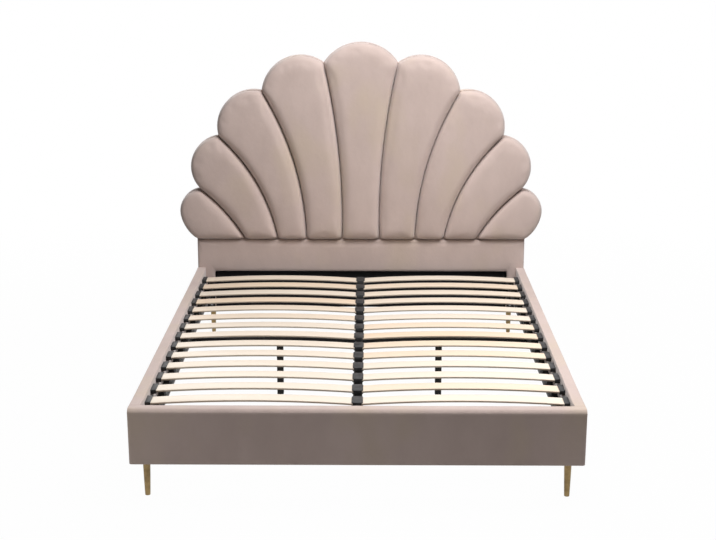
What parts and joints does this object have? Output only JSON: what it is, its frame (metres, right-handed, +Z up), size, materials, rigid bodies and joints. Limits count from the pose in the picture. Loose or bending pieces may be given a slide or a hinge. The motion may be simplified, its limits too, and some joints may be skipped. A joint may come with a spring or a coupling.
{
  "type": "bed frame",
  "caption": "Upholstered double bed frame with a scalloped fan headboard of padded petals, sprung slats in caps on a steel frame, padded rails and tapered brass legs.",
  "frame": {"origin": "on the floor, under the middle of the whole bed's length and width", "axes": "+Z up, +X to the right seen from the foot, +Y towards the headboard, which is the bed's long direction"},
  "size_m": [1.76, 2.1376, 1.4339],
  "materials": {
    "velvet": "short-pile velvet, pale mushroom pink, over foam padding",
    "black_cloth": "thin black non-woven upholstery cloth",
    "frame_timber": "planed pine and board, unfinished",
    "slat_timber": "layered birch, clear and satin",
    "black_steel": "black powder coat, satin",
    "zinc_steel": "bright zinc plate",
    "black_plastic": "moulded black plastic, fine matte grain",
    "foot_plastic": "moulded black plastic foot on a steel screw",
    "brass": "brushed gold plate over turned steel"
  },
  "bodies": {
    "bed": {"petal_centre": "velvet", "petal_left_1": "velvet", "petal_left_2": "velvet", "petal_left_3": "velvet", "petal_left_4": "velvet", "petal_right_1": "velvet", "petal_right_2": "velvet", "petal_right_3": "velvet", "petal_right_4": "velvet", "headboard_board": "frame_timber", "headboard_posts": "frame_timber", "headboard_cross_rails": "frame_timber", "headboard_head_blocks": "frame_timber", "headboard_edge_cover": "velvet", "headboard_back_cloth": "black_cloth", "headboard_lower_pad": "velvet", "headboard_side_strips": "velvet", "headboard_lining": "black_cloth", "footboard_core": "frame_timber", "footboard_cover": "velvet", "rail_core_left": "frame_timber", "rail_core_right": "frame_timber", "rail_cover_left": "velvet", "rail_cover_right": "velvet", "side_bar_left": "black_steel", "side_bar_right": "black_steel", "centre_rail": "black_steel", "cross_beam_foot": "black_steel", "cross_beam_mid": "black_steel", "cross_beam_head": "black_steel", "beam_cradles": "black_steel", "corner_brackets": "black_steel", "frame_bolts": "zinc_steel", "headboard_bolts": "zinc_steel", "slat_row_01": "slat_timber", "slat_row_02": "slat_timber", "slat_row_03": "slat_timber", "slat_row_04": "slat_timber", "slat_row_05": "slat_timber", "slat_row_06": "slat_timber", "slat_row_07": "slat_timber", "slat_row_08": "slat_timber", "slat_row_09": "slat_timber", "slat_row_10": "slat_timber", "slat_row_11": "slat_timber", "slat_row_12": "slat_timber", "slat_row_13": "slat_timber", "slat_row_14": "slat_timber", "caps_left": "black_plastic", "caps_right": "black_plastic", "centre_caps": "black_plastic", "support_leg_left": "black_steel", "support_leg_right": "black_steel", "support_inserts": "black_plastic", "leg_front_left": "brass", "leg_front_right": "brass", "leg_rear_left": "brass", "leg_rear_right": "brass"},
    "foot_left": {"levelling_foot_left": "foot_plastic"},
    "foot_right": {"levelling_foot_right": "foot_plastic"}
  },
  "joints": [
    {"name": "levelling_left", "type": "slide", "parent": "bed", "child": "foot_left", "axis": [0, 0, 1], "range_m": [0, 0.01]},
    {"name": "levelling_right", "type": "slide", "parent": "bed", "child": "foot_right", "axis": [0, 0, 1], "range_m": [0, 0.01]}
  ]
}
